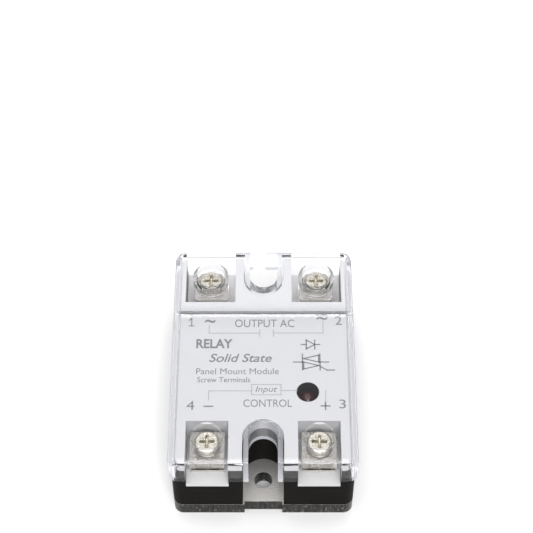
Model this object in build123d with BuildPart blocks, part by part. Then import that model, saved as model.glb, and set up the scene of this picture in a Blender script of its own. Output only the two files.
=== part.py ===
from build123d import *
import os

os.makedirs("parts", exist_ok=True)

# Solid state relay, panel style, two output and two input screw terminals.
# Millimetres. Origin at the centre of the base plate's underside, +Z up,
# +Y towards the output terminals (1 and 2), +X towards terminals 2 and 3.

# Overall sizes
base_width = 44.0
base_length = 61.0
base_thickness = 4.5
cover_width = 45.0
cover_length = 62.0
cover_top = 26.0
corner_radius = 2.3
clearance = 0.3

# Mounting hole and slot, for M4 screws
mount_y = 23.8
mount_hole = 4.4
tab_half = 4.65
tab_setback = 0.9
slot_y = 22.9
slot_radius = 5.0
slot_wall = 1.2

# Housing levels
floor_bottom = 14.2
floor_top = 15.4
ledge = 17.2
case_rim = 21.0
case_step = 16.0
cap_top = 24.3
cap_roof = 1.5
case_wall = 1.4
cap_wall = 1.3
pocket_wall = 1.1
cap_width = 41.8
cap_length = 58.8
cap_corner = 1.5
cap_edge = 0.5
base_edge = 0.25

# Terminals
terminal_x = 13.4
terminal_y = 23.3
input_pocket_width = 10.2
input_pocket_inner = 18.4
output_pocket_width = 12.6
output_pocket_inner = 15.9
strap_thickness = 1.0
input_strap_width = 8.0
output_strap_width = 9.0
strap_end = 27.4
strap_hole_fit = 0.2
output_drop_y = 11.4
output_foot_y = 7.2
output_bend = 1.0
input_start = 0.4
input_drop_y = -15.5
input_drop_lap = 2.0
input_tail_width = 2.5
input_tail_below = 0.8
input_bend = 0.9
nut_size = 6.5
nut_thickness = 2.6
nut_corner = 0.4
nut_boss = 9.0
boss_floor = 1.0
tip_room = 0.4
boss_bottom = 10.0
screw_diameter = 3.5
thread_fit = 0.05
screw_head = 6.0
screw_head_height = 2.2
head_underside = 21.1
screw_tip = 11.9
head_round = 0.7
tip_chamfer = 0.4
cross_length = 3.6
cross_width = 0.8
cross_depth = 1.3
cross_taper = 12
clamp_size = 8.4
clamp_thickness = 1.0
clamp_top = 20.4
clamp_lip_bottom = 16.75
clamp_corner = 0.6
clamp_shoulder = 1.4
lip_inset = 0.4
lip_taper = 1.5
notch_half = 0.7
notch_depth = 0.8
washer_outer = 6.2
washer_split = 0.5
split_angle = 20

# Cover and its folding flap
cover_wall = 1.3
cover_roof = 1.2
cover_edge = 1.8
cover_inner_edge = 0.6
hinge_y = 11.8
hinge_gap = 0.9
hinge_film = 0.25
driver_hole = 7.4
sleeve_outer = 9.0
sleeve_bottom = 22.4
wire_gate_top = 24.2
collar_inner = 3.5
collar_outer = 4.7
lug_inner = 25.9
lug_gap = (-2.6, 0.5)
lug_setback = 0.5
lug_drop = 0.3
gate_from = 0.2
film_fit = 0.06

# Power parts on the base and the control board above them
substrate_size = (38.0, 17.0, 0.63)
substrate_y = 2.3
copper = 0.3
chip_size = 7.0
chip_thickness = 0.35
chip_places = [(-5.5, -1.5), (5.5, 3.0)]
pad_gap = 0.8
pad_edge = 18.2
pad_half_depth = 7.7
jumper_rows = {-1: -3.5, 1: 4.6}
jumper_width = 1.6
jumper_thickness = 0.4
jumper_crest = 7.6
gate_places = [(-3.2, 0.9), (3.2, 0.6)]
lead_radius = 0.35
lead_proud = 0.6
board_size = (36.0, 25.0, 1.6)
board_y = -3.9
board_bottom = 12.0
led_x = 10.8
led_y = -10.4
led_well = 5.5
led_seat = 17.6
led_well_rim = 1.0
led_pitch = 2.54
led_lead = 0.5
led_lead_below = 0.4
led_flange = 2.4
led_dome = 2.1
led_flange_height = 1.0
led_dome_height = 4.0
led_dome_round = 1.9

# The four terminals: number, side along X, end along Y
terminals = {1: (-1, 1), 2: (1, 1), 3: (1, -1), 4: (-1, -1)}
board_top = board_bottom + board_size[2]
substrate_top = base_thickness + substrate_size[2]
copper_top = substrate_top + copper
strap_mid = floor_top + strap_thickness / 2


def pocket_edges(end):
    """Inner side, outer side and inner end of a terminal pocket, as distances from the middle."""
    if end > 0:
        width = output_pocket_width
        inner = output_pocket_inner
    else:
        width = input_pocket_width
        inner = input_pocket_inner
    return terminal_x - width / 2, terminal_x + width / 2, inner


def span(x_from, x_to, y_from, y_to, mode=Mode.ADD):
    """A rectangle given by its sides, on the current sketch."""
    with Locations(((x_from + x_to) / 2, (y_from + y_to) / 2)):
        Rectangle(abs(x_to - x_from), abs(y_to - y_from), mode=mode)


def slot(radius, end, centre=slot_y, reach=cover_length, mode=Mode.ADD):
    """A U-shaped outline, round at its inner end and straight out to its reach."""
    with Locations((0, end * centre)):
        Circle(radius, mode=mode)
    span(-radius, radius, end * centre, end * reach, mode=mode)


def finish(piece, name):
    """Names a finished piece and writes it out."""
    piece.part.label = name
    export_step(piece.part, f"parts/{name}.step")


# Base plate: nickel-plated copper alloy, the heat path and the mounting flange.
with BuildPart() as base_plate:
    with BuildSketch():
        RectangleRounded(base_width, base_length, corner_radius)
        span(-tab_half, tab_half, -base_length / 2 + tab_setback, -base_length, mode=Mode.SUBTRACT)
    extrude(amount=base_thickness)
    chamfer(base_plate.faces().sort_by(Axis.Z)[0].outer_wire().edges(), length=base_edge)
    with BuildSketch():
        with Locations((0, -mount_y)):
            Circle(mount_hole / 2)
        slot(mount_hole / 2, 1, centre=mount_y)
    extrude(amount=base_thickness, mode=Mode.SUBTRACT)
finish(base_plate, "base_plate")


# Lower case: dark moulded shell, open below, seated on the base plate. Its upper part
# steps inwards, which leaves a ledge for the cover's skirt to stand over.
with BuildPart() as lower_case:
    with BuildSketch(Plane.XY.offset(base_thickness)):
        RectangleRounded(base_width, base_length, corner_radius)
    extrude(amount=ledge - base_thickness)
    with BuildSketch(Plane.XY.offset(ledge)):
        RectangleRounded(cap_width, cap_length, cap_corner)
    extrude(amount=case_rim - ledge)
    with BuildSketch(Plane.XY.offset(base_thickness)):
        Rectangle(base_width - 2 * case_wall, base_length - 2 * case_wall)
        for end in (-1, 1):
            slot(slot_radius + slot_wall, end, mode=Mode.SUBTRACT)
    extrude(amount=case_step - base_thickness, mode=Mode.SUBTRACT)
    with BuildSketch(Plane.XY.offset(case_step)):
        Rectangle(cap_width - 2 * cap_wall, cap_length - 2 * cap_wall)
        for end in (-1, 1):
            slot(slot_radius + slot_wall, end, mode=Mode.SUBTRACT)
    extrude(amount=case_rim - case_step, mode=Mode.SUBTRACT)
    with BuildSketch(Plane.XY.offset(base_thickness)):
        for end in (-1, 1):
            slot(slot_radius, end)
    extrude(amount=case_rim - base_thickness, mode=Mode.SUBTRACT)
    # Wire entries, cut down to the underside of the pocket floors.
    with BuildSketch(Plane.XY.offset(floor_bottom)):
        for side, end in terminals.values():
            near, far, inner = pocket_edges(end)
            span(side * near, side * far, end * (cap_length / 2 - cap_wall), end * cover_length)
    extrude(amount=case_rim - floor_bottom, mode=Mode.SUBTRACT)
finish(lower_case, "lower_case")


# Nuts: square, captive in the pocket floors, one per terminal.
nuts = {}
for number, (side, end) in terminals.items():
    with BuildPart() as nut:
        with Locations((side * terminal_x, end * terminal_y, floor_top - nut_thickness / 2)):
            Box(nut_size, nut_size, nut_thickness)
            Cylinder(screw_diameter / 2 + thread_fit, nut_thickness, mode=Mode.SUBTRACT)
        chamfer(nut.edges().filter_by(Axis.Z).filter_by(GeomType.LINE), length=nut_corner)
    nuts[number] = nut
    finish(nut, f"terminal_{number}_nut")


# Straps: the output pair runs down to the power substrate, the input pair to the board.
straps = {}
for number, (side, end) in terminals.items():
    with BuildPart() as strap:
        x = side * terminal_x
        if end > 0:
            with BuildSketch(Plane.YZ.offset(x)):
                with BuildLine():
                    FilletPolyline(
                        (strap_end, strap_mid),
                        (output_drop_y, strap_mid),
                        (output_drop_y, copper_top + strap_thickness / 2),
                        (output_foot_y, copper_top + strap_thickness / 2),
                        radius=output_bend,
                    )
                trace(line_width=strap_thickness)
            extrude(amount=output_strap_width / 2, both=True)
        else:
            with BuildSketch(Plane.XY.offset(floor_top)):
                half = input_strap_width / 2
                span(x - half, x + half, -strap_end, -input_pocket_inner - input_start)
            extrude(amount=strap_thickness)
            with BuildSketch(Plane.YZ.offset(x)):
                with BuildLine():
                    FilletPolyline(
                        (-input_pocket_inner - input_drop_lap, strap_mid),
                        (input_drop_y, strap_mid),
                        (input_drop_y, board_bottom - input_tail_below),
                        radius=input_bend,
                    )
                trace(line_width=strap_thickness)
            extrude(amount=input_tail_width / 2, both=True)
        with Locations((x, end * terminal_y, strap_mid)):
            Cylinder(screw_diameter / 2 + strap_hole_fit, 2 * strap_thickness, mode=Mode.SUBTRACT)
    straps[number] = strap
    finish(strap, f"terminal_{number}_strap")


# Top cap: white moulded lid with four open terminal pockets, the mounting slots'
# upper ends and a round well for the status lamp.
well_x = cap_width / 2 - cap_wall - 0.1
well_y = cap_length / 2 - cap_wall - 0.1
with BuildPart() as top_cap:
    with BuildSketch(Plane.XY.offset(case_rim)):
        RectangleRounded(cap_width, cap_length, cap_corner)
    extrude(amount=cap_top - case_rim)
    fillet(top_cap.faces().sort_by(Axis.Z)[-1].edges(), radius=cap_edge)
    with BuildSketch(Plane.XY.offset(case_rim)):
        Rectangle(cap_width - 2 * cap_wall, cap_length - 2 * cap_wall)
        for end in (-1, 1):
            slot(slot_radius + slot_wall, end, mode=Mode.SUBTRACT)
        for side, end in terminals.values():
            near, far, inner = pocket_edges(end)
            span(
                side * (near - pocket_wall),
                side * cap_width,
                end * (inner - pocket_wall),
                end * cover_length,
                mode=Mode.SUBTRACT,
            )
        with Locations((led_x, led_y)):
            Circle(led_well / 2 + led_well_rim, mode=Mode.SUBTRACT)
    extrude(amount=cap_top - cap_roof - case_rim, mode=Mode.SUBTRACT)
    # Pocket walls and floors reach down inside the dark shell.
    with BuildSketch(Plane.XY.offset(floor_bottom)):
        for side, end in terminals.values():
            near, far, inner = pocket_edges(end)
            low_near = max(near - pocket_wall, slot_radius + slot_wall + 0.05)
            span(side * low_near, side * well_x, end * (inner - pocket_wall), end * well_y)
    extrude(amount=case_rim - floor_bottom)
    with BuildSketch(Plane.XY.offset(floor_bottom)):
        for side, end in terminals.values():
            near, far, inner = pocket_edges(end)
            span(side * near, side * far, end * inner, end * base_length / 2)
    extrude(amount=floor_top - floor_bottom)
    with BuildSketch(Plane.XY.offset(floor_top)):
        for side, end in terminals.values():
            near, far, inner = pocket_edges(end)
            span(side * near, side * far, end * inner, end * cover_length)
        with Locations((led_x, led_y)):
            Circle(led_well / 2)
    extrude(amount=cap_top - floor_top, mode=Mode.SUBTRACT)
    with BuildSketch(Plane.XY.offset(case_rim)):
        for end in (-1, 1):
            slot(slot_radius, end)
    extrude(amount=cap_top - case_rim, mode=Mode.SUBTRACT)
    # Bosses hold the nuts, with a blind hole under each for the screw tip.
    for side, end in terminals.values():
        here = (side * terminal_x, end * terminal_y)
        with BuildSketch(Plane.XY.offset(boss_bottom)):
            with Locations(here):
                Rectangle(nut_boss, nut_boss)
        extrude(amount=floor_bottom - boss_bottom)
        with BuildSketch(Plane.XY.offset(floor_top)):
            with Locations(here):
                Rectangle(nut_size, nut_size)
        extrude(amount=-nut_thickness, mode=Mode.SUBTRACT)
        with BuildSketch(Plane.XY.offset(boss_bottom + boss_floor)):
            with Locations(here):
                Circle(screw_diameter / 2 + tip_room)
        extrude(amount=floor_top - boss_bottom - boss_floor, mode=Mode.SUBTRACT)
    for strap in straps.values():
        add(strap.part, mode=Mode.SUBTRACT)
finish(top_cap, "top_cap")


# Clamp plates, spring washers and screws: the three pieces that rise together.
for number, (side, end) in terminals.items():
    x = side * terminal_x
    y = end * terminal_y
    with BuildPart() as clamp:
        with BuildSketch(Plane.XY.offset(clamp_top - clamp_thickness)):
            with Locations((x, y)):
                RectangleRounded(clamp_size, clamp_size, clamp_corner)
        extrude(amount=clamp_thickness)
        for edge in (-1, 1):
            face_y = y + edge * (clamp_size / 2 - clamp_thickness / 2)
            with BuildSketch(Plane.XZ.offset(-face_y)):
                with BuildLine():
                    Polyline(
                        (x - clamp_size / 2 + lip_inset, clamp_top - clamp_thickness / 2),
                        (x - clamp_size / 2 + lip_inset, clamp_top - clamp_shoulder),
                        (x - clamp_size / 2 + lip_taper, clamp_lip_bottom),
                        (x - notch_half, clamp_lip_bottom),
                        (x, clamp_lip_bottom + notch_depth),
                        (x + notch_half, clamp_lip_bottom),
                        (x + clamp_size / 2 - lip_taper, clamp_lip_bottom),
                        (x + clamp_size / 2 - lip_inset, clamp_top - clamp_shoulder),
                        (x + clamp_size / 2 - lip_inset, clamp_top - clamp_thickness / 2),
                        close=True,
                    )
                make_face()
            extrude(amount=clamp_thickness / 2, both=True)
        with Locations((x, y, clamp_top - clamp_thickness / 2)):
            Cylinder(screw_diameter / 2 + thread_fit, 2 * clamp_thickness, mode=Mode.SUBTRACT)
    finish(clamp, f"terminal_{number}_clamp")

    with BuildPart() as washer:
        with BuildSketch(Plane.XY.offset(clamp_top)):
            with Locations((x, y)):
                Circle(washer_outer / 2)
                Circle(screw_diameter / 2 + thread_fit, mode=Mode.SUBTRACT)
            with Locations(Location((x + end * washer_outer / 2, y, 0), (0, 0, split_angle))):
                Rectangle(washer_outer / 2, washer_split, mode=Mode.SUBTRACT)
        extrude(amount=head_underside - clamp_top)
    finish(washer, f"terminal_{number}_washer")

    with BuildPart() as screw:
        with BuildSketch(Plane.XY.offset(head_underside)):
            with Locations((x, y)):
                Circle(screw_head / 2)
        extrude(amount=screw_head_height)
        fillet(screw.faces().sort_by(Axis.Z)[-1].edges(), radius=head_round)
        with BuildSketch(Plane.XY.offset(screw_tip)):
            with Locations((x, y)):
                Circle(screw_diameter / 2)
        extrude(amount=head_underside - screw_tip)
        chamfer(screw.faces().sort_by(Axis.Z)[0].edges(), length=tip_chamfer)
        # Cross recess, tapered.
        with BuildSketch(Plane.XY.offset(head_underside + screw_head_height)):
            with Locations((x, y)):
                Rectangle(cross_length, cross_width)
                Rectangle(cross_width, cross_length)
        extrude(amount=-cross_depth, taper=cross_taper, mode=Mode.SUBTRACT)
    finish(screw, f"terminal_{number}_screw")


# Cover: one clear moulding, thinned to a film along the hinge line. Its collars line
# the mounting slots and its sleeves guide a driver to the output screws.
skirt_bottom = ledge + clearance
inner_roof = cover_top - cover_roof
with BuildPart() as cover_cavity:
    with BuildSketch(Plane.XY.offset(skirt_bottom)):
        RectangleRounded(
            cover_width - 2 * cover_wall,
            cover_length - 2 * cover_wall,
            corner_radius - cover_wall,
        )
    extrude(amount=inner_roof - skirt_bottom)
    fillet(cover_cavity.faces().sort_by(Axis.Z)[-1].edges(), radius=cover_inner_edge)
    with BuildSketch(Plane.XY.offset(skirt_bottom)):
        for end in (-1, 1):
            slot(collar_outer, end)
    extrude(amount=inner_roof - skirt_bottom, mode=Mode.SUBTRACT)

with BuildPart() as cover_shell:
    with BuildSketch(Plane.XY.offset(skirt_bottom)):
        RectangleRounded(cover_width, cover_length, corner_radius)
    extrude(amount=cover_top - skirt_bottom)
    fillet(cover_shell.faces().sort_by(Axis.Z)[-1].edges(), radius=cover_edge)
    add(cover_cavity.part, mode=Mode.SUBTRACT)
    with BuildSketch(Plane.XY.offset(inner_roof)):
        with Locations((-terminal_x, terminal_y), (terminal_x, terminal_y)):
            Circle(sleeve_outer / 2)
    extrude(amount=sleeve_bottom - inner_roof)
    with BuildSketch(Plane.XY.offset(sleeve_bottom)):
        for side, end in terminals.values():
            with Locations((side * terminal_x, end * terminal_y)):
                Circle(driver_hole / 2)
    extrude(amount=cover_top - sleeve_bottom, mode=Mode.SUBTRACT)
    with BuildSketch(Plane.XY.offset(skirt_bottom)):
        for end in (-1, 1):
            slot(collar_inner, end)
    extrude(amount=cover_top - skirt_bottom, mode=Mode.SUBTRACT)
    with BuildSketch(Plane.XY.offset(skirt_bottom)):
        for side, end in terminals.values():
            near, far, inner = pocket_edges(end)
            span(side * near, side * far, end * (cap_length / 2 + gate_from), end * cover_length)
    extrude(amount=wire_gate_top - skirt_bottom, mode=Mode.SUBTRACT)

with BuildPart() as cover_main:
    add(cover_shell.part)
    split(bisect_by=Plane.XZ.offset(-(hinge_y - hinge_gap / 2)), keep=Keep.TOP)
finish(cover_main, "cover_main")

with BuildPart() as cover_flap:
    add(cover_shell.part)
    split(bisect_by=Plane.XZ.offset(-(hinge_y + hinge_gap / 2)), keep=Keep.BOTTOM)
    # Two lugs partly close the slot's mouth, the gap left of the middle.
    with BuildSketch(Plane.XY.offset(inner_roof - lug_drop)):
        span(-collar_outer, lug_gap[0], lug_inner, cover_length / 2 - lug_setback)
        span(lug_gap[1], collar_outer, lug_inner, cover_length / 2 - lug_setback)
    extrude(amount=cover_roof)
finish(cover_flap, "cover_flap")

with BuildPart() as hinge_web:
    with BuildSketch(Plane.XY.offset(cover_top - hinge_film)):
        half = cover_width / 2 - cover_edge
        span(-half, half, hinge_y - hinge_gap / 2, hinge_y + hinge_gap / 2 - film_fit)
    extrude(amount=hinge_film)
finish(hinge_web, "hinge_web")


# Power stage: ceramic substrate, copper pads, two thyristor chips and their jumpers.
with BuildPart() as ceramic_substrate:
    with Locations((0, substrate_y, base_thickness + substrate_size[2] / 2)):
        Box(*substrate_size)
finish(ceramic_substrate, "ceramic_substrate")

with BuildPart() as copper_pads:
    with BuildSketch(Plane.XY.offset(substrate_top)):
        for side in (-1, 1):
            span(side * pad_gap, side * pad_edge, substrate_y - pad_half_depth, substrate_y + pad_half_depth)
    extrude(amount=copper)
finish(copper_pads, "copper_pads")

with BuildPart() as thyristor_chips:
    with BuildSketch(Plane.XY.offset(copper_top)):
        with Locations(*chip_places):
            Rectangle(chip_size, chip_size)
    extrude(amount=chip_thickness)
finish(thyristor_chips, "thyristor_chips")

chip_top = copper_top + chip_thickness
with BuildPart() as chip_jumpers:
    for side, row in jumper_rows.items():
        with BuildSketch(Plane.XZ.offset(-row)):
            with BuildLine():
                Polyline(
                    (side * 7.6, chip_top),
                    (side * 3.2, chip_top),
                    (side * 1.6, jumper_crest),
                    (-side * 1.2, jumper_crest),
                    (-side * 1.2, copper_top),
                    (-side * 3.2, copper_top),
                    (-side * 3.2, copper_top + jumper_thickness),
                    (-side * 1.7, copper_top + jumper_thickness),
                    (-side * 1.7, jumper_crest + jumper_thickness),
                    (side * 1.8, jumper_crest + jumper_thickness),
                    (side * 3.4, chip_top + jumper_thickness),
                    (side * 7.6, chip_top + jumper_thickness),
                    close=True,
                )
            make_face()
        extrude(amount=jumper_width / 2, both=True)
finish(chip_jumpers, "chip_jumpers")

with BuildPart() as gate_leads:
    with BuildSketch(Plane.XY.offset(chip_top)):
        with Locations(*gate_places):
            Circle(lead_radius)
    extrude(amount=board_top + lead_proud - chip_top)
finish(gate_leads, "gate_leads")


# Control board and what is soldered on it.
with BuildPart() as led_leads:
    with BuildSketch(Plane.XY.offset(board_bottom - led_lead_below)):
        with Locations((led_x - led_pitch / 2, led_y), (led_x + led_pitch / 2, led_y)):
            Rectangle(led_lead, led_lead)
    extrude(amount=led_seat - board_bottom + led_lead_below)
finish(led_leads, "led_leads")

with BuildPart() as circuit_board:
    with Locations((0, board_y, board_bottom + board_size[2] / 2)):
        Box(*board_size)
    for lead in (gate_leads, led_leads, straps[3], straps[4]):
        add(lead.part, mode=Mode.SUBTRACT)
finish(circuit_board, "circuit_board")

with BuildPart() as status_led:
    with BuildSketch(Plane.XY.offset(led_seat)):
        with Locations((led_x, led_y)):
            Circle(led_flange)
    extrude(amount=led_flange_height)
    with BuildSketch(Plane.XY.offset(led_seat + led_flange_height)):
        with Locations((led_x, led_y)):
            Circle(led_dome)
    extrude(amount=led_dome_height)
    fillet(status_led.faces().sort_by(Axis.Z)[-1].edges(), radius=led_dome_round)
finish(status_led, "status_led")

opto_place = (-1.0, -9.0)
opto_body = (6.4, 8.8, 3.4)
opto_standoff = 0.4
pin_pitch = 2.54
pin_width = 0.9
pin_drop = 2.0
pin_arm = 1.6
with BuildPart() as optocoupler:
    with Locations((*opto_place, board_top + opto_standoff + opto_body[2] / 2)):
        Box(*opto_body)
    chamfer(optocoupler.faces().sort_by(Axis.Z)[-1].edges(), length=0.3)
    with BuildSketch(Plane.XY.offset(board_top)):
        with Locations(opto_place):
            with GridLocations(opto_body[0] + 1.2, pin_pitch, 2, 3):
                Rectangle(0.5, pin_width)
    extrude(amount=pin_drop)
    with BuildSketch(Plane.XY.offset(board_top + pin_arm)):
        with Locations(opto_place):
            with GridLocations(opto_body[0] + 0.6, pin_pitch, 2, 3):
                Rectangle(pin_arm, pin_width)
    extrude(amount=pin_drop - pin_arm)
finish(optocoupler, "optocoupler")

capacitor_place = (-10.5, 3.4)
capacitor_size = (13.0, 5.0, 8.4)
with BuildPart() as snubber_capacitor:
    with Locations((*capacitor_place, board_top + capacitor_size[2] / 2)):
        Box(*capacitor_size)
    fillet(snubber_capacitor.edges(), radius=0.4)
finish(snubber_capacitor, "snubber_capacitor")

resistor_place = (10.0, 6.0)
resistor_radius = 1.7
resistor_length = 9.0
resistor_axis = board_top + 2.0
resistor_lead_span = 11.7
with BuildPart() as snubber_resistor:
    with BuildSketch(Plane.YZ.offset(resistor_place[0])):
        with Locations((resistor_place[1], resistor_axis)):
            Circle(resistor_radius)
    extrude(amount=resistor_length / 2, both=True)
    fillet(snubber_resistor.edges(), radius=0.5)
    with BuildSketch(Plane.YZ.offset(resistor_place[0])):
        with Locations((resistor_place[1], resistor_axis)):
            Circle(lead_radius)
    extrude(amount=resistor_lead_span / 2 + lead_radius, both=True)
    with BuildSketch(Plane.XY.offset(board_top)):
        with Locations(resistor_place):
            with GridLocations(resistor_lead_span, 1, 2, 1):
                Circle(lead_radius)
    extrude(amount=resistor_axis - board_top)
finish(snubber_resistor, "snubber_resistor")

varistor_place = (11.0, 0.6)
varistor_radius = 3.5
varistor_thickness = 3.2
varistor_axis = board_top + 4.6
varistor_pitch = 5.0
with BuildPart() as varistor:
    with BuildSketch(Plane.XZ.offset(-varistor_place[1])):
        with Locations((varistor_place[0], varistor_axis)):
            Circle(varistor_radius)
    extrude(amount=varistor_thickness / 2, both=True)
    fillet(varistor.edges(), radius=0.9)
    with BuildSketch(Plane.XY.offset(board_top)):
        with Locations(varistor_place):
            with GridLocations(varistor_pitch, 1, 2, 1):
                Circle(lead_radius)
    extrude(amount=varistor_axis - board_top - 0.2)
finish(varistor, "varistor")

chip_resistor_size = (2.0, 1.25, 0.6)
with BuildPart() as chip_resistors:
    with BuildSketch(Plane.XY.offset(board_top)):
        with Locations((-12.0, -8.0)):
            with GridLocations(3.2, 2.4, 2, 3):
                Rectangle(chip_resistor_size[0], chip_resistor_size[1])
    extrude(amount=chip_resistor_size[2])
finish(chip_resistors, "chip_resistors")

transistor_size = (2.9, 1.4, 1.1)
with BuildPart() as drive_transistors:
    with BuildSketch(Plane.XY.offset(board_top)):
        with Locations((5.6, -13.0), (5.6, -8.6)):
            Rectangle(transistor_size[0], transistor_size[1])
    extrude(amount=transistor_size[2])
finish(drive_transistors, "drive_transistors")


# Potting: cast round the power stage, up to the nut bosses.
potting_gap = 0.1
with BuildPart() as potting_compound:
    with BuildSketch(Plane.XY.offset(base_thickness)):
        Rectangle(base_width - 2 * (case_wall + potting_gap), base_length - 2 * (case_wall + potting_gap))
        for end in (-1, 1):
            slot(slot_radius + slot_wall + potting_gap / 2, end, mode=Mode.SUBTRACT)
    extrude(amount=boss_bottom - potting_gap - base_thickness)
    for piece in (ceramic_substrate, copper_pads, thyristor_chips, chip_jumpers, gate_leads):
        add(piece.part, mode=Mode.SUBTRACT)
    for number in (1, 2):
        add(straps[number].part, mode=Mode.SUBTRACT)
finish(potting_compound, "potting_compound")
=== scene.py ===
import math

import bpy
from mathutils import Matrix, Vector


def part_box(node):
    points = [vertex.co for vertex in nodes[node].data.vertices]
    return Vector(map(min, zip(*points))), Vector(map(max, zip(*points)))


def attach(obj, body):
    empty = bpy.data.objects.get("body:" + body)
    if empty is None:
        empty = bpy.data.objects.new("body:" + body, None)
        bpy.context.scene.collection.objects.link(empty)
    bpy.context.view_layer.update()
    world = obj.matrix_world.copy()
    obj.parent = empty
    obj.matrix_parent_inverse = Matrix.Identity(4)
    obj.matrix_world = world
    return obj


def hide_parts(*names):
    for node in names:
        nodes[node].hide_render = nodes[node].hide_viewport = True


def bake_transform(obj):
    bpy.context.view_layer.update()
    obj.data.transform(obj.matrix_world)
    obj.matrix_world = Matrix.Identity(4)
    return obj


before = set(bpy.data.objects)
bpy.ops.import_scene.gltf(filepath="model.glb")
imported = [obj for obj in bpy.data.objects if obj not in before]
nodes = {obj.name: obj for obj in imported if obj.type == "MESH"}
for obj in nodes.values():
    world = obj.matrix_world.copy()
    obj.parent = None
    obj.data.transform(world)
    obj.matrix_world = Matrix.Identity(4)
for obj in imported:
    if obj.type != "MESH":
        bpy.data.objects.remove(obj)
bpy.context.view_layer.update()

mm = 0.001

# ---------------------------------------------------------------- studio
# A white sweep under four soft lamps: one overhead, one behind that the metal catches, a small
# one at the left, and one in front for the input end. The camera looks down on that end.
look_down, roll, turn = 54.49, 0.1, 0.05
camera_data = bpy.data.cameras.new("camera")
camera_data.sensor_width = 36.0
camera_data.lens = 101.7
camera_data.clip_start = 0.01
camera_data.clip_end = 20.0
camera = bpy.data.objects.new("camera", camera_data)
camera.location = (1.5 * mm, -197.4 * mm, 338.9 * mm)
camera.rotation_euler = (math.radians(90 - look_down), math.radians(roll), math.radians(turn))
bpy.context.scene.collection.objects.link(camera)
bpy.context.scene.camera = camera
bpy.context.scene.view_settings.view_transform = "Standard"
relay_middle = Vector((0, 0, 0.02))


def softbox(name, place, size_x, size_y, watts):
    """A flat rectangular lamp at place, facing the relay."""
    data = bpy.data.lights.new(name, "AREA")
    data.shape = "RECTANGLE"
    data.size = size_x
    data.size_y = size_y
    data.energy = watts
    lamp = bpy.data.objects.new(name, data)
    lamp.location = place
    lamp.rotation_mode = "QUATERNION"
    lamp.rotation_quaternion = (relay_middle - Vector(place)).to_track_quat("-Z", "Y")
    bpy.context.scene.collection.objects.link(lamp)


softbox("lamp_back", (0.0, 0.83, 0.63), 1.1, 0.72, 3.4)
softbox("lamp_top", (0.0, 0.0, 1.3), 1.0, 1.0, 8.6)
softbox("lamp_left", (-0.9, 0.1, 0.5), 0.5, 0.6, 1.4)
softbox("lamp_key", (0.1, -0.78, 0.9), 0.6, 0.5, 7.5)

world = bpy.data.worlds.new("room")
world.use_nodes = True
walls = world.node_tree.nodes["Background"]
walls.inputs["Color"].default_value = (1.0, 0.995, 0.99, 1.0)
walls.inputs["Strength"].default_value = 0.26
bpy.context.scene.world = world


class Wire:
    """One shader value. Plain arithmetic on it adds the node that works it out."""

    def __init__(self, shader, socket):
        self.shader = shader
        self.socket = socket

    def maths(self, operation, *values):
        links = dict(enumerate(values))
        return self.shader.node("ShaderNodeMath", {"operation": operation}, links)

    def __add__(self, other):
        return self.maths("ADD", self, other)

    __radd__ = __add__

    def __sub__(self, other):
        return self.maths("SUBTRACT", self, other)

    def __rsub__(self, other):
        return self.maths("SUBTRACT", other, self)

    def __mul__(self, other):
        return self.maths("MULTIPLY", self, other)

    __rmul__ = __mul__

    def __truediv__(self, other):
        return self.maths("DIVIDE", self, other)

    def __gt__(self, other):
        return self.maths("GREATER_THAN", self, other)

    def __lt__(self, other):
        return self.maths("LESS_THAN", self, other)

    def __abs__(self):
        return self.maths("ABSOLUTE", self)

    def most(self, other):
        return self.maths("MAXIMUM", self, other)

    def smooth(self, low, high):
        """0 below low and 1 above high, eased between."""
        settings = {"interpolation_type": "SMOOTHSTEP"}
        return self.shader.node("ShaderNodeMapRange", settings, {0: self, 1: low, 2: high})


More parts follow.
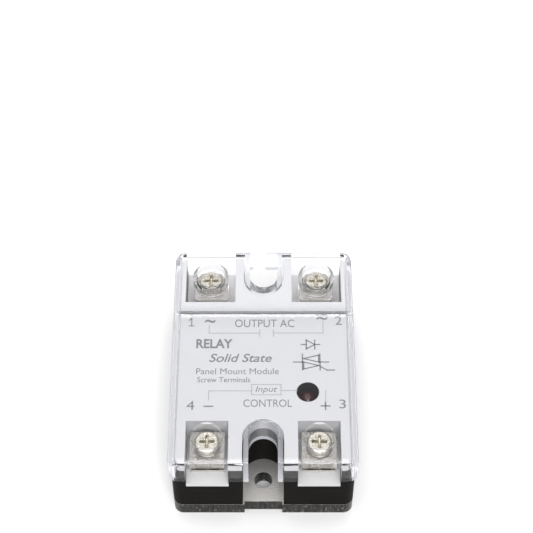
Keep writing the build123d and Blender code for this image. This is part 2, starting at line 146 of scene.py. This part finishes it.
class Shader:
    """A material and its Principled surface. Constants are set straight on the surface."""

    def __init__(self, name, **constants):
        self.material = bpy.data.materials.new(name)
        self.material.use_nodes = True
        self.tree = self.material.node_tree
        self.surface = self.tree.nodes["Principled BSDF"]
        self.put(**constants)

    def feed(self, socket, value):
        if isinstance(value, Wire):
            self.tree.links.new(value.socket, socket)
        elif isinstance(value, tuple) and len(value) == 3 and socket.type == "RGBA":
            socket.default_value = (*value, 1.0)
        else:
            socket.default_value = value

    def put(self, **sockets):
        for key, value in sockets.items():
            self.feed(self.surface.inputs[key.replace("_", " ")], value)

    def node(self, kind, settings, links, output=0):
        """Adds a node, sets it, then fills its inputs. Returns one of its outputs."""
        made = self.tree.nodes.new(kind)
        for key, value in settings.items():
            setattr(made, key, value)
        for key, value in links.items():
            self.feed(made.inputs[key], value)
        return Wire(self, made.outputs[output])

    def place(self, *letters):
        """Where a point lies along the named axes of the piece, in mm."""
        spot = self.node("ShaderNodeTexCoord", {}, {}, "Object")
        return [self.node("ShaderNodeSeparateXYZ", {}, {0: spot}, a) / mm for a in letters]

    def facing(self, letter):
        """How squarely the surface faces one axis, whichever way along it: 0 to 1."""
        way = self.node("ShaderNodeTexCoord", {}, {}, "Normal")
        return abs(self.node("ShaderNodeSeparateXYZ", {}, {0: way}, letter))

    def noise(self, size, detail=3.0, stretch=(1.0, 1.0, 1.0)):
        """Cloudy noise from 0 to 1 with features about size mm across."""
        spot = self.node("ShaderNodeTexCoord", {}, {}, "Object")
        pulled = self.node("ShaderNodeVectorMath", {"operation": "MULTIPLY"}, {0: spot, 1: stretch})
        links = {"Vector": pulled, "Scale": 1.0 / (size * mm), "Detail": detail}
        return self.node("ShaderNodeTexNoise", {}, links)

    def blend(self, share, first, second):
        """Colour first where share is 0, second where it is 1."""
        links = {0: share, 6: first, 7: second}
        return self.node("ShaderNodeMix", {"data_type": "RGBA"}, links, 2)

    def relief(self, height, depth, strength=1.0):
        """Surface relief: a height of 1 stands depth mm proud."""
        links = {"Strength": strength, "Distance": depth * mm, "Height": height}
        self.put(Normal=self.node("ShaderNodeBump", {}, links))


def paint(shader, *names):
    """Gives CAD nodes one material."""
    for name in names:
        mesh = nodes[name].data
        mesh.materials.clear()
        mesh.materials.append(shader.material)


sweep = Shader("paper_sweep", Roughness=0.85, Specular_IOR_Level=0.1)
sweep.put(Emission_Color=(1.0, 1.0, 1.0), Emission_Strength=0.04)
sweep.put(Base_Color=sweep.blend(sweep.noise(90.0), (0.93, 0.93, 0.94), (0.96, 0.96, 0.965)))
floor_mesh = bpy.data.meshes.new("floor")
reach, gap_below = 3.0, 0.2 * mm
corners = [(-reach, -reach), (reach, -reach), (reach, reach), (-reach, reach)]
floor_mesh.from_pydata([(x, y, -gap_below) for x, y in corners], [], [(0, 1, 2, 3)])
floor_mesh.materials.append(sweep.material)
floor = bpy.data.objects.new("floor", floor_mesh)
bpy.context.scene.collection.objects.link(floor)

# ---------------------------------------------------------------- base plate
# Nickel-plated copper alloy, sheared to shape and tumbled, with a round hole at one end and
# an open slot at the other. Its flats are satin. Its sheared edges are painted near-black and
# streaked as painted shade, with bright painted glints as flecks, most of them near the bottom
# edge.


def soften(name, width, segments=2):
    """Rounds the hard edges of a CAD node by width mm, as tumbling or moulding does."""
    piece = nodes[name]
    for face in piece.data.polygons:
        face.use_smooth = True
    weld = piece.modifiers.new("weld", "WELD")
    weld.merge_threshold = 0.001 * mm
    bevel = piece.modifiers.new("bevel", "BEVEL")
    bevel.width = width * mm
    bevel.segments = segments
    bevel.limit_method = "ANGLE"
    bevel.angle_limit = math.radians(35)
    normals = piece.modifiers.new("normals", "WEIGHTED_NORMAL")
    normals.keep_sharp = False


plate = Shader("nickel_plate", Metallic=1.0)
flat = plate.facing("Z").smooth(0.45, 0.8)
grain = plate.noise(0.25, 4.0)
cloud = plate.noise(4.0)
(z,) = plate.place("Z")
# Painted light on the side faces: near-black painted shade in place of the satin nickel of the
# flats, with bright painted glints that gather near the bottom edge.
glint_band_top = 0.7
glint_weight = 0.35 + 0.65 * (z < glint_band_top)
painted_edge_glints = plate.noise(0.4, 2.0, (1.0, 1.0, 0.4)).smooth(0.62, 0.72) * glint_weight
streaks = plate.noise(0.5, 4.0, (1.0, 1.0, 0.12)).smooth(0.35, 0.75)
satin = plate.blend(grain.smooth(0.3, 0.7), (0.42, 0.40, 0.38), (0.86, 0.84, 0.81))
painted_edge_shade = plate.blend(streaks, (0.006, 0.0055, 0.005), (0.06, 0.056, 0.052))
painted_shade_and_glints = plate.blend(painted_edge_glints, painted_edge_shade, (0.95, 0.93, 0.90))
plate.put(
    Base_Color=plate.blend(flat, painted_shade_and_glints, satin),
    Roughness=0.26 + 0.16 * cloud + 0.1 * flat,
)
plate.relief(grain, 0.06, 0.6)
paint(plate, "base_plate")
soften("base_plate", 0.18, 3)

# ---------------------------------------------------------------- power stage
# A white fired ceramic tile soldered to the base, two copper pads on it, a thyristor chip on
# each pad and folded copper jumpers between them. Tinned wires carry the gates up to the board.
tile = Shader("alumina", Roughness=0.55)
tile.put(Base_Color=tile.blend(tile.noise(0.2), (0.82, 0.81, 0.78), (0.9, 0.89, 0.87)))
tile.relief(tile.noise(0.12), 0.006)
paint(tile, "ceramic_substrate")

copper = Shader("dull_copper", Metallic=1.0)
tarnish = copper.noise(2.2, 5.0).smooth(0.35, 0.75)
copper.put(
    Base_Color=copper.blend(tarnish, (0.82, 0.48, 0.33), (0.5, 0.27, 0.2)),
    Roughness=0.28 + 0.25 * tarnish,
)
copper.relief(copper.noise(0.15), 0.008)
paint(copper, "copper_pads", "chip_jumpers")
soften("copper_pads", 0.08)
soften("chip_jumpers", 0.1)

chip = Shader("silicon", Metallic=0.6)
(y,) = chip.place("Y")
saw_lines = abs((y * 2.0).maths("SINE")).smooth(0.0, 0.12)
chip.put(
    Base_Color=chip.blend(saw_lines, (0.03, 0.03, 0.04), (0.16, 0.17, 0.2)),
    Roughness=0.12 + 0.1 * chip.noise(1.2),
)
paint(chip, "thyristor_chips")

tinned = Shader("tinned_wire", Metallic=1.0)
tinned.put(
    Base_Color=tinned.blend(tinned.noise(0.5), (0.72, 0.72, 0.74), (0.86, 0.86, 0.87)),
    Roughness=0.22 + 0.2 * tinned.noise(0.3),
)
tinned.relief(tinned.noise(0.2, 2.0, (1.0, 1.0, 0.25)), 0.01)
paint(tinned, "gate_leads", "led_leads")

# ---------------------------------------------------------------- lower case
# The dark shell, injection moulded in glass-filled plastic with a fine spark texture. It
# sits on the base plate and steps in at the ledge under the cover's skirt.
shell = Shader("dark_glass_filled_plastic", Specular_IOR_Level=0.03)
mottle = shell.noise(3.5)
pores = shell.noise(0.16, 4.0)
shell.put(
    Base_Color=shell.blend(mottle, (0.0052, 0.0046, 0.0040), (0.0090, 0.0080, 0.0068)),
    Roughness=0.46 + 0.16 * pores,
)
shell.relief(pores, 0.012, 0.7)
paint(shell, "lower_case")
soften("lower_case", 0.2)

# ---------------------------------------------------------------- potting
# Grey silicone-filled epoxy, poured round the power stage and cured, with a faintly wavy top
# and a few fine filler grains in it.
cast = Shader("potting_resin", Specular_IOR_Level=0.5)
filler = cast.noise(0.1, 2.0).smooth(0.62, 0.7)
cast.put(
    Base_Color=cast.blend(filler, (0.045, 0.046, 0.05), (0.12, 0.12, 0.125)),
    Roughness=0.3 + 0.15 * cast.noise(1.5),
)
cast.relief(cast.noise(4.0), 0.1)
paint(cast, "potting_compound")

# ---------------------------------------------------------------- control board
# A glass-epoxy board under green solder mask, its copper tracks showing through as paler
# lines, with the opto-coupler, snubber parts, varistor, chip resistors and drive transistors
# soldered to its upper face.
board = Shader("solder_mask", Specular_IOR_Level=0.5)
x, y = board.place("X", "Y")
wander = board.noise(3.0, 1.0) * 5.0
across = abs((x * 1.3 + wander).maths("SINE")).smooth(0.86, 0.94)
along = abs((y * 1.1 + wander).maths("SINE")).smooth(0.88, 0.95)
tracks = across.most(along) * board.facing("Z").smooth(0.6, 0.9)
weave = board.noise(0.3, 2.0)
board.put(
    Base_Color=board.blend(tracks, (0.012, 0.075, 0.03), (0.03, 0.17, 0.06)),
    Roughness=0.26 + 0.12 * weave,
)
board.relief(tracks + 0.2 * weave, 0.035)
paint(board, "circuit_board")
soften("circuit_board", 0.08)

epoxy = Shader("black_epoxy")
x, y, z = epoxy.place("X", "Y", "Z")
opto_x, opto_y, opto_half = -1.0, -9.0, 3.25
pin_row, pin_top, dot_size = 4.4, 15.75, 0.2
pins = (abs(x - opto_x) > opto_half) * (abs(y - opto_y) < pin_row) * (z < pin_top)
dot_x, dot_y = x - (opto_x - 2.2), y - (opto_y + 3.4)
dot = ((dot_x * dot_x + dot_y * dot_y) < dot_size) * epoxy.facing("Z").smooth(0.7, 0.9)
grit = epoxy.noise(0.12)
body = epoxy.blend(dot, (0.018, 0.018, 0.019), (0.12, 0.12, 0.12))
epoxy.put(
    Base_Color=epoxy.blend(pins, body, (0.8, 0.8, 0.82)),
    Metallic=pins,
    Roughness=0.5 - 0.2 * pins + 0.15 * grit,
)
epoxy.relief(grit, 0.01)
paint(epoxy, "optocoupler", "drive_transistors")
soften("drive_transistors", 0.12)

chips = Shader("chip_resistor_glaze")
(x,) = chips.place("X")
column, half_gap, cap_from = -12.0, 1.6, 0.62
caps = abs(abs(x - column) - half_gap) > cap_from
chips.put(
    Base_Color=chips.blend(caps, (0.02, 0.02, 0.025), (0.78, 0.78, 0.8)),
    Metallic=caps,
    Roughness=0.25 + 0.15 * chips.noise(0.3),
)
paint(chips, "chip_resistors")
soften("chip_resistors", 0.08)

film = Shader("capacitor_case", Specular_IOR_Level=0.5, Coat_Weight=0.3)
film.put(
    Base_Color=film.blend(film.noise(1.4), (0.42, 0.05, 0.02), (0.52, 0.08, 0.03)),
    Roughness=0.3 + 0.15 * film.noise(0.4),
)
film.relief(film.noise(2.5, 1.0), 0.05)
paint(film, "snubber_capacitor")

coat = Shader("resistor_coating")
x, z = coat.place("X", "Z")
resistor_x, resistor_end, band_reach = 10.0, 4.45, 3.2
from_middle = abs(x - resistor_x)
leads = from_middle > resistor_end
bands = abs((x * 2.1).maths("SINE")).smooth(0.75, 0.8) * (from_middle < band_reach)
body = coat.blend(bands, (0.2, 0.34, 0.36), (0.36, 0.12, 0.03))
coat.put(
    Base_Color=coat.blend(leads, body, (0.8, 0.8, 0.82)),
    Metallic=leads,
    Roughness=0.32 + 0.15 * coat.noise(0.4),
)
coat.relief(coat.noise(0.8), 0.03)
paint(coat, "snubber_resistor")

lacquer = Shader("varistor_lacquer")
(z,) = lacquer.place("Z")
disc_bottom = 14.7
leads = z < disc_bottom
lacquer.put(
    Base_Color=lacquer.blend(leads, (0.02, 0.09, 0.3), (0.8, 0.8, 0.82)),
    Metallic=leads,
    Roughness=0.3 + 0.12 * lacquer.noise(0.6),
)
lacquer.relief(lacquer.noise(1.6), 0.08)
paint(lacquer, "varistor")

# ---------------------------------------------------------------- nuts and straps
# Square steel nuts pressed into the pocket floors, and bent, nickel-plated brass straps over
# them that lead inside the case. The plating is bright, over the fine lines of rolled strip.
strip = Shader("plated_strip", Metallic=1.0)
rolled = strip.noise(0.12, 3.0, (1.0, 0.12, 1.0))
strip.put(
    Base_Color=strip.blend(strip.noise(1.8), (0.70, 0.665, 0.61), (0.84, 0.81, 0.76)),
    Roughness=0.2 + 0.18 * rolled,
)
strip.relief(rolled, 0.01)
steel = Shader("plated_steel_nut", Metallic=1.0)
steel.put(
    Base_Color=steel.blend(steel.noise(0.7), (0.6, 0.58, 0.52), (0.76, 0.73, 0.66)),
    Roughness=0.26 + 0.2 * steel.noise(0.4),
)
steel.relief(steel.noise(0.25), 0.015)
for number in (1, 2, 3, 4):
    paint(strip, f"terminal_{number}_strap")
    paint(steel, f"terminal_{number}_nut")
    soften(f"terminal_{number}_strap", 0.1)
    soften(f"terminal_{number}_nut", 0.12)

# ---------------------------------------------------------------- top cap
# The white lid with its four pockets, moulded in smooth satin plastic. Its top is pad-printed
# in grey with terminal numbers, polarity signs and plain words, and in a paler grey with the
# wiring lines. The wall of the well for the status lamp is painted near-black as painted shade.
lid = Shader("white_satin_plastic", Specular_IOR_Level=0.35)
haze = lid.noise(6.0)
skin = lid.noise(0.22, 3.0)
x, y, z = lid.place("X", "Y", "Z")
led_x, led_y, well_radius, well_rim = 10.8, -10.4, 2.85, 24.22
from_led_x, from_led_y = x - led_x, y - led_y
in_well = (from_led_x * from_led_x + from_led_y * from_led_y) < well_radius * well_radius
# Painted shade: the well's wall below the cap's top is painted near-black.
painted_well_shade = in_well * (z < well_rim)
white = lid.blend(haze, (0.66, 0.657, 0.668), (0.70, 0.697, 0.706))
lid.put(
    Base_Color=lid.blend(painted_well_shade, white, (0.012, 0.010, 0.011)),
    Roughness=0.36 + 0.14 * skin,
)
lid.relief(skin, 0.008, 0.6)
paint(lid, "top_cap")
soften("top_cap", 0.1)

ink = Shader("grey_print", Specular_IOR_Level=0.2)
worn = ink.noise(0.3, 3.0).smooth(0.35, 0.75)
ink.put(
    Base_Color=ink.blend(worn, (0.20, 0.195, 0.195), (0.30, 0.295, 0.295)),
    Roughness=0.5 + 0.2 * worn,
)
thin_ink = Shader("thin_grey_print", Specular_IOR_Level=0.2)
patchy = thin_ink.noise(0.3, 3.0).smooth(0.35, 0.75)
thin_ink.put(
    Base_Color=thin_ink.blend(patchy, (0.40, 0.395, 0.40), (0.50, 0.495, 0.50)),
    Roughness=0.5 + 0.2 * patchy,
)
cap_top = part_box("top_cap")[1].z
ink_film = 0.02 * mm


def printed(name, mesh, shade):
    """Puts a mesh of print on the cap."""
    mesh.materials.append(shade.material)
    piece = bpy.data.objects.new(name, mesh)
    bpy.context.scene.collection.objects.link(piece)
    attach(piece, "case")


def lettering(name, words, left, right, bottom, top, heavy=0.0, slant=0.0):
    """One line of print, fitted to a rectangle in mm on the cap's top."""
    curve = bpy.data.curves.new(name, "FONT")
    curve.body = words
    curve.offset = heavy
    curve.shear = slant
    curve.resolution_u = 4
    curve.extrude = 0.5
    written = bpy.data.objects.new(name + "_curve", curve)
    bpy.context.scene.collection.objects.link(written)
    ready = written.evaluated_get(bpy.context.evaluated_depsgraph_get())
    mesh = bpy.data.meshes.new_from_object(ready)
    bpy.data.objects.remove(written)
    xs = [v.co.x for v in mesh.vertices]
    ys = [v.co.y for v in mesh.vertices]
    for v in mesh.vertices:
        across = (v.co.x - min(xs)) / (max(xs) - min(xs))
        up = (v.co.y - min(ys)) / (max(ys) - min(ys))
        v.co = (
            (left + across * (right - left)) * mm,
            (bottom + up * (top - bottom)) * mm,
            cap_top + (v.co.z + 0.3) * ink_film,
        )
    mesh.name = name
    printed(name, mesh, ink)


def strokes(name, width, *paths, shade=ink):
    """Straight printed lines width mm wide, each path given by its corners in mm."""
    points, faces = [], []
    for path in paths:
        for (x0, y0), (x1, y1) in zip(path, path[1:]):
            run = math.hypot(x1 - x0, y1 - y0)
            ax, ay = (x1 - x0) / run * width / 2, (y1 - y0) / run * width / 2
            ring = [
                (x0 - ax + ay, y0 - ay - ax),
                (x1 + ax + ay, y1 + ay - ax),
                (x1 + ax - ay, y1 + ay + ax),
                (x0 - ax - ay, y0 - ay + ax),
            ]
            first = len(points)
            points += [(x * mm, y * mm, cap_top - 0.2 * ink_film) for x, y in ring]
            points += [(x * mm, y * mm, cap_top + 0.8 * ink_film) for x, y in ring]
            box = [(3, 2, 1, 0), (4, 5, 6, 7), (0, 1, 5, 4)]
            box += [(1, 2, 6, 5), (2, 3, 7, 6), (3, 0, 4, 7)]
            faces += [tuple(first + i for i in face) for face in box]
    mesh = bpy.data.meshes.new(name)
    mesh.from_pydata(points, [], faces)
    printed(name, mesh, shade)


strokes("print_1", 0.26, [(-18.5, 10.3), (-17.9, 11.0), (-17.9, 8.7)], [(-18.5, 8.7), (-17.3, 8.7)])
lettering("print_2", "2", 17.9, 19.6, 9.0, 11.5)
lettering("print_3", "3", 18.3, 19.9, -15.0, -12.5)
lettering("print_4", "4", -18.5, -16.6, -15.4, -12.9)
lettering("print_wave_1", "~", -14.6, -12.0, 9.55, 10.6, heavy=0.01)
lettering("print_wave_2", "~", 13.3, 16.0, 10.45, 11.45, heavy=0.01)
lettering("print_output", "OUTPUT AC", -7.1, 7.7, 8.3, 10.6)
lettering("print_control", "CONTROL", -4.8, 6.9, -14.6, -12.5)
lettering("print_name", "RELAY", -16.6, -7.6, 2.1, 4.8, heavy=0.028)
lettering("print_title", "Solid State", -13.3, 2.1, -1.9, 0.5, heavy=0.012, slant=0.28)
lettering("print_line_1", "Panel Mount Module", -16.4, 3.8, -5.4, -3.7)
lettering("print_line_2", "Screw Terminals", -16.1, -3.2, -7.7, -6.2, heavy=0.003)
lettering("print_input", "Input", -1.9, 3.4, -10.9, -8.8, slant=0.28)
strokes(
    "print_wiring",
    0.2,
    [(-13.5, 8.9), (-13.5, 6.55), (-0.9, 6.55)],
    [(-0.9, 7.5), (-0.9, 5.4)],
    [(14.85, 10.0), (14.85, 6.6), (2.5, 6.6)],
    [(2.5, 7.5), (2.5, 5.5)],
    [(-13.2, -12.7), (-13.2, -10.1), (-2.8, -10.1)],
    [(4.3, -10.0), (8.2, -10.0)],
    [(15.1, -9.9), (15.1, -13.0)],
    [(-2.8, -11.2), (4.3, -11.2), (4.3, -8.3), (-2.8, -8.3), (-2.8, -11.2)],
    shade=thin_ink,
)
strokes(
    "print_signs",
    0.36,
    [(-14.2, -14.4), (-12.2, -14.4)],
    [(14.0, -14.3), (16.0, -14.3)],
    [(15.0, -15.3), (15.0, -13.3)],
)
strokes(
    "print_diode",
    0.32,
    [(9.4, 3.2), (10.6, 3.2)],
    [(10.6, 1.9), (10.6, 4.5), (12.7, 3.2), (10.6, 1.9)],
    [(12.7, 1.9), (12.7, 4.5)],
    [(12.7, 3.2), (13.9, 3.2)],
)
strokes(
    "print_triac",
    0.32,
    [(7.4, -1.9), (9.6, -1.9)],
    [(9.6, -4.2), (9.6, 0.4)],
    [(9.9, -3.9), (9.9, -1.9), (13.6, -2.9), (9.9, -3.9)],
    [(13.6, 0.1), (13.6, -1.9), (9.9, -0.9), (13.6, 0.1)],
    [(13.9, -4.2), (13.9, 0.4)],
    [(13.9, -1.9), (16.0, -1.9)],
    [(14.0, -3.2), (15.6, -4.2), (17.4, -4.2)],
)

# ---------------------------------------------------------------- status lamp
# A small round lamp cast in red-tinted epoxy, with a flange at its foot. It stands in the
# well in the cap, its dome just below the cap's top.
lamp = Shader("red_tinted_epoxy", Transmission_Weight=0.55, IOR=1.52)
swirl = lamp.noise(0.8)
lamp.put(
    Base_Color=lamp.blend(swirl, (0.05, 0.004, 0.006), (0.10, 0.008, 0.010)),
    Roughness=0.14 + 0.1 * swirl,
)
lamp.relief(lamp.noise(0.5, 1.0), 0.01)
paint(lamp, "status_led")

# ---------------------------------------------------------------- clamps, washers and screws
# Each terminal has a stamped clamp plate with turned-down lips, a split spring washer and a
# pan-head cross-recess screw that hold together and rise as one. All are nickel plated and
# tumbled; the screws are a little yellower. The lips are painted brighter with painted glints,
# and a painted shadow darkens the foot of each lip.
clamp = Shader("nickel_stamping", Metallic=1.0)
hammered = clamp.noise(0.55, 3.0)
fine = clamp.noise(0.12, 2.0)
(z,) = clamp.place("Z")
# Painted light on the clamp: the lip faces take a brighter copy of the nickel with painted glints,
# and below the lips' foot a near-black painted shadow.
lip_from, lip_foot = 19.2, 17.6
lips = (z < lip_from) * clamp.facing("Y").smooth(0.3, 0.7)
dull = clamp.blend(hammered, (0.22, 0.21, 0.20), (0.56, 0.54, 0.51))
painted_lip_glints = clamp.blend(hammered.smooth(0.35, 0.65), (0.55, 0.53, 0.50), (1.0, 0.98, 0.95))
painted_lip_light_and_shadow = clamp.blend(z < lip_foot, painted_lip_glints, (0.03, 0.026, 0.024))
clamp.put(
    Base_Color=clamp.blend(lips, dull, painted_lip_light_and_shadow),
    Roughness=0.22 + 0.2 * fine,
)
clamp.relief(hammered + 0.35 * fine, 0.16)

brass = Shader("nickel_screw", Metallic=1.0)
(z,) = brass.place("Z")
pitch = 0.6
thread_top = 20.7
thread = (z * (2 * math.pi / pitch)).maths("SINE") * (z < thread_top)
turned = brass.noise(0.3, 3.0)
brass.put(
    Base_Color=brass.blend(turned, (0.40, 0.375, 0.32), (0.86, 0.83, 0.75)),
    Roughness=0.17 + 0.18 * brass.noise(0.2),
)
brass.relief(2.6 * turned + thread, 0.08)

spring = Shader("spring_washer", Metallic=1.0)
spring.put(
    Base_Color=spring.blend(spring.noise(0.4), (0.34, 0.325, 0.30), (0.52, 0.50, 0.46)),
    Roughness=0.24 + 0.2 * spring.noise(0.2),
)
spring.relief(spring.noise(0.3), 0.02)
for number in (1, 2, 3, 4):
    paint(clamp, f"terminal_{number}_clamp")
    paint(spring, f"terminal_{number}_washer")
    paint(brass, f"terminal_{number}_screw")
    soften(f"terminal_{number}_clamp", 0.16, 3)
    soften(f"terminal_{number}_washer", 0.08)
    soften(f"terminal_{number}_screw", 0.08)

# ---------------------------------------------------------------- cover and flap
# One clear polycarbonate moulding that snaps down over the cap, with collars in the mounting
# slots. The flap over the output end folds up along a film hinge. The two lugs at the back
# slot's mouth are frosted. The side walls are painted milky white and the collars a little
# whitish, as painted light carried in the clear plastic, with a painted highlight along the
# collars' bottom rim, and the outer top edges are painted dark grey as painted shade.
clear = Shader("clear_polycarbonate", Transmission_Weight=1.0, IOR=1.2, Specular_IOR_Level=0.3)
clear.put(Base_Color=(0.985, 0.985, 1.0))
x, y, z = clear.place("X", "Y", "Z")
slot_side, lug_from, lug_bottom, collar_from = 4.75, 25.85, 24.4, 18.1
in_slot = abs(x) < slot_side
lugs = in_slot * (y > lug_from) * (z > lug_bottom)
collars = in_slot * (abs(y) > collar_from) * (z < lug_bottom)
ripple = clear.noise(7.0, 2.0)
smear = clear.noise(0.5, 3.0)
rim_top, wall_inside, wall_outside, back_outside, fold_from = 17.68, 21.15, 22.38, 30.9, 23.8
# Painted highlight: a bright milky band along the collars' bottom rim.
rim = collars * (z < rim_top)
side_walls = (abs(x) > wall_inside) * (abs(x) < wall_outside)
# Painted shade: the outer top edges are painted dark grey.
outline = (abs(x) > wall_outside).most(y > back_outside) * (z > fold_from)
clear.put(
    Roughness=0.012 + 0.03 * smear + 0.45 * lugs,
    Coat_Weight=0.7 * clear.facing("Z").smooth(0.6, 0.9),
)
clear.relief(ripple + 0.02 * smear, 0.10, 0.6)


def let_lamps_through(shader, tint, surface):
    """Lamps and soft light pass straight through this clear surface."""
    ray = shader.tree.nodes.new("ShaderNodeLightPath")
    shadow = Wire(shader, ray.outputs["Is Shadow Ray"])
    straight = shadow.most(Wire(shader, ray.outputs["Is Diffuse Ray"]))
    open_air = shader.node("ShaderNodeBsdfTransparent", {}, {0: tint})
    mixed = shader.node("ShaderNodeMixShader", {}, {0: straight, 1: surface, 2: open_air})
    ends = shader.tree.nodes["Material Output"].inputs["Surface"]
    shader.tree.links.new(mixed.socket, ends)


shade = clear.blend(outline, (0.86, 0.87, 0.92), (0.10, 0.10, 0.105))
frost = clear.node("ShaderNodeBsdfPrincipled", {}, {"Base Color": shade, "Roughness": 0.6})
glassy = Wire(clear, clear.surface.outputs[0])
# Painted light: the side walls and collars glow milky white and the rim is painted bright; the
# lugs' frosting is real.
milkiness = 0.008 + 0.12 * collars + 0.5 * rim + 0.6 * lugs
milkiness += 0.42 * side_walls + 0.75 * outline
milky = clear.node("ShaderNodeMixShader", {}, {0: milkiness, 1: glassy, 2: frost})
let_lamps_through(clear, (0.95, 0.955, 0.96), milky)
paint(clear, "cover_main", "cover_flap")
soften("cover_main", 0.12)
soften("cover_flap", 0.12)

# ---------------------------------------------------------------- hinge film
# The cover is thinned to a quarter of a millimetre along the fold, so the flap bends up on a
# clear web that is a little hazy from flexing.
# Painted shade: the web's see-through colour is tinted dark grey and lamps passing it are dimmed,
# so the fold shows as a dark line.
hazy = Shader("flexed_film", Transmission_Weight=1.0, IOR=1.2, Base_Color=(0.42, 0.42, 0.43))
crease = hazy.noise(0.5, 3.0, (0.2, 1.0, 1.0))
hazy.put(Roughness=0.12 + 0.2 * crease)
hazy.relief(crease, 0.03)
let_lamps_through(hazy, (0.6, 0.6, 0.6), Wire(hazy, hazy.surface.outputs[0]))
low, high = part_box("hinge_web")
lap = 0.02 * mm
rows, columns = 14, 40
film_points, film_faces = [], []
for level in (low.z, high.z - lap):
    for row in range(rows + 1):
        for column in range(columns + 1):
            film_points.append(
                (
                    low.x + (high.x - low.x) * column / columns,
                    low.y + (high.y - low.y) * row / rows,
                    level,
                )
            )
sheet = (rows + 1) * (columns + 1)
for row in range(rows):
    for column in range(columns):
        a = row * (columns + 1) + column
        b, c, d = a + 1, a + columns + 2, a + columns + 1
        film_faces.append((d, c, b, a))
        film_faces.append((sheet + a, sheet + b, sheet + c, sheet + d))
border = [i for i in range(columns)]
border += [row * (columns + 1) + columns for row in range(rows)]
border += [rows * (columns + 1) + columns - i for i in range(columns)]
border += [(rows - row) * (columns + 1) for row in range(rows)]
for a, b in zip(border, border[1:] + border[:1]):
    film_faces.append((a, b, sheet + b, sheet + a))
film_mesh = bpy.data.meshes.new("hinge_film")
film_mesh.from_pydata(film_points, [], film_faces)
film_mesh.materials.append(hazy.material)
film = bpy.data.objects.new("hinge_film", film_mesh)
bpy.context.scene.collection.objects.link(film)
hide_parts("hinge_web")
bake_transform(film)
